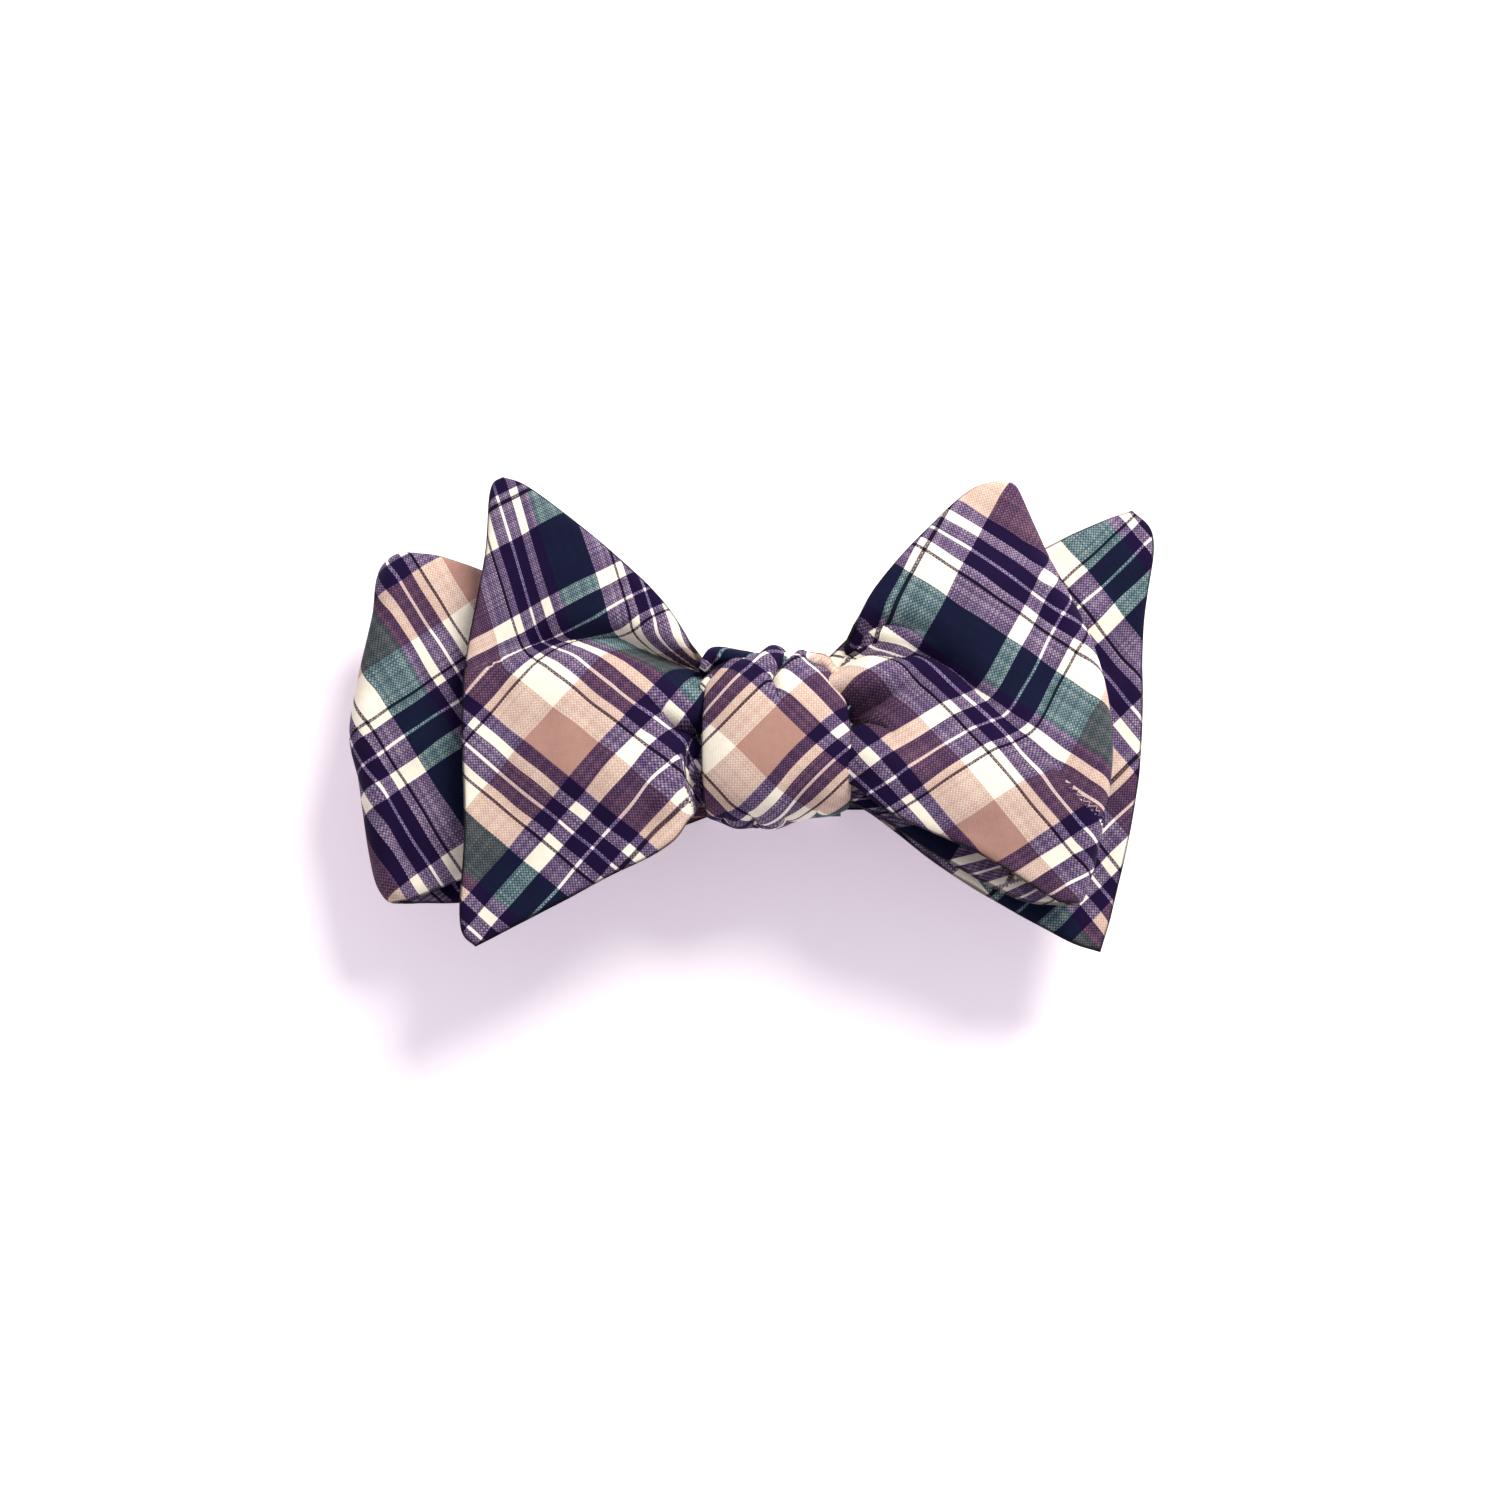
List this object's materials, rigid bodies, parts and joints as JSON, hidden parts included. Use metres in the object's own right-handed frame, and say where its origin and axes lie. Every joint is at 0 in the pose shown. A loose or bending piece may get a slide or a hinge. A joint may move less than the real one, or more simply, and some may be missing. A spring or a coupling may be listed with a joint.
{
  "type": "bow tie",
  "caption": "Self-tie butterfly bow tie in bias-cut plaid cotton, tied, with a flat end and a folded loop on each side of the knot and its neckband folded behind.",
  "frame": {"origin": "middle of the underside of the whole tie as it lies face up", "axes": "+Z out of the bow's face, +X towards the right of the bow seen from in front, +Y up the bow"},
  "size_m": [0.122, 0.071, 0.0322],
  "materials": {
    "plaid_cloth": "matt plain-weave cotton with a plaid of cream, tan, navy and green",
    "neckband_cloth": "the same plaid cotton, folded into a narrow band",
    "interlining": "brushed off-white stiffener",
    "label_tape": "blank woven tape",
    "hardware": "nickel-plated wire and sheet"
  },
  "bodies": {
    "knot": {"knot_wrap": "plaid_cloth", "knot_wrap_interlining": "interlining", "front_waist_pleats": "plaid_cloth", "back_waist_pleats": "plaid_cloth", "neckband_left": "neckband_cloth", "neckband_right": "neckband_cloth", "clasp_eye": "hardware", "blank_label": "label_tape"},
    "left_front_wing": {"left_front_face": "plaid_cloth", "left_front_interlining": "interlining", "left_front_backing": "plaid_cloth"},
    "right_front_wing": {"right_front_loop_face": "plaid_cloth", "right_front_loop_interlining": "interlining", "right_front_loop_lining": "plaid_cloth"},
    "left_back_wing": {"left_back_loop_face": "plaid_cloth", "left_back_loop_interlining": "interlining", "left_back_loop_lining": "plaid_cloth"},
    "right_back_wing": {"right_back_face": "plaid_cloth", "right_back_interlining": "interlining", "right_back_backing": "plaid_cloth"},
    "adjuster": {"adjuster_slider": "hardware"},
    "hook": {"clasp_hook": "hardware"}
  },
  "joints": [
    {"name": "left_front_flex", "type": "hinge", "parent": "knot", "child": "left_front_wing", "pos_m": [-0.00777, -0.0055, 0.029], "axis": [0, 1, 0], "range_deg": [0, 18], "stiffness_Nm_per_rad": 0.06},
    {"name": "right_front_flex", "type": "hinge", "parent": "knot", "child": "right_front_wing", "pos_m": [0.01523, -0.0055, 0.0316], "axis": [0, -1, 0], "range_deg": [0, 18], "stiffness_Nm_per_rad": 0.06},
    {"name": "left_back_flex", "type": "hinge", "parent": "knot", "child": "left_back_wing", "pos_m": [-0.00777, -0.0055, 0.012], "axis": [0, 1, 0], "range_deg": [-5, 0], "stiffness_Nm_per_rad": 0.06},
    {"name": "right_back_flex", "type": "hinge", "parent": "knot", "child": "right_back_wing", "pos_m": [0.01523, -0.0055, 0.017], "axis": [0, -1, 0], "range_deg": [-8, 0], "stiffness_Nm_per_rad": 0.06},
    {"name": "adjuster_slide", "type": "slide", "parent": "knot", "child": "adjuster", "axis": [1, 0, 0], "range_m": [-0.005, 0.005]},
    {"name": "hook_lift", "type": "hinge", "parent": "knot", "child": "hook", "pos_m": [0.01373, -0.003, 0.0025], "axis": [0, 1, 0], "range_deg": [0, 14]}
  ]
}
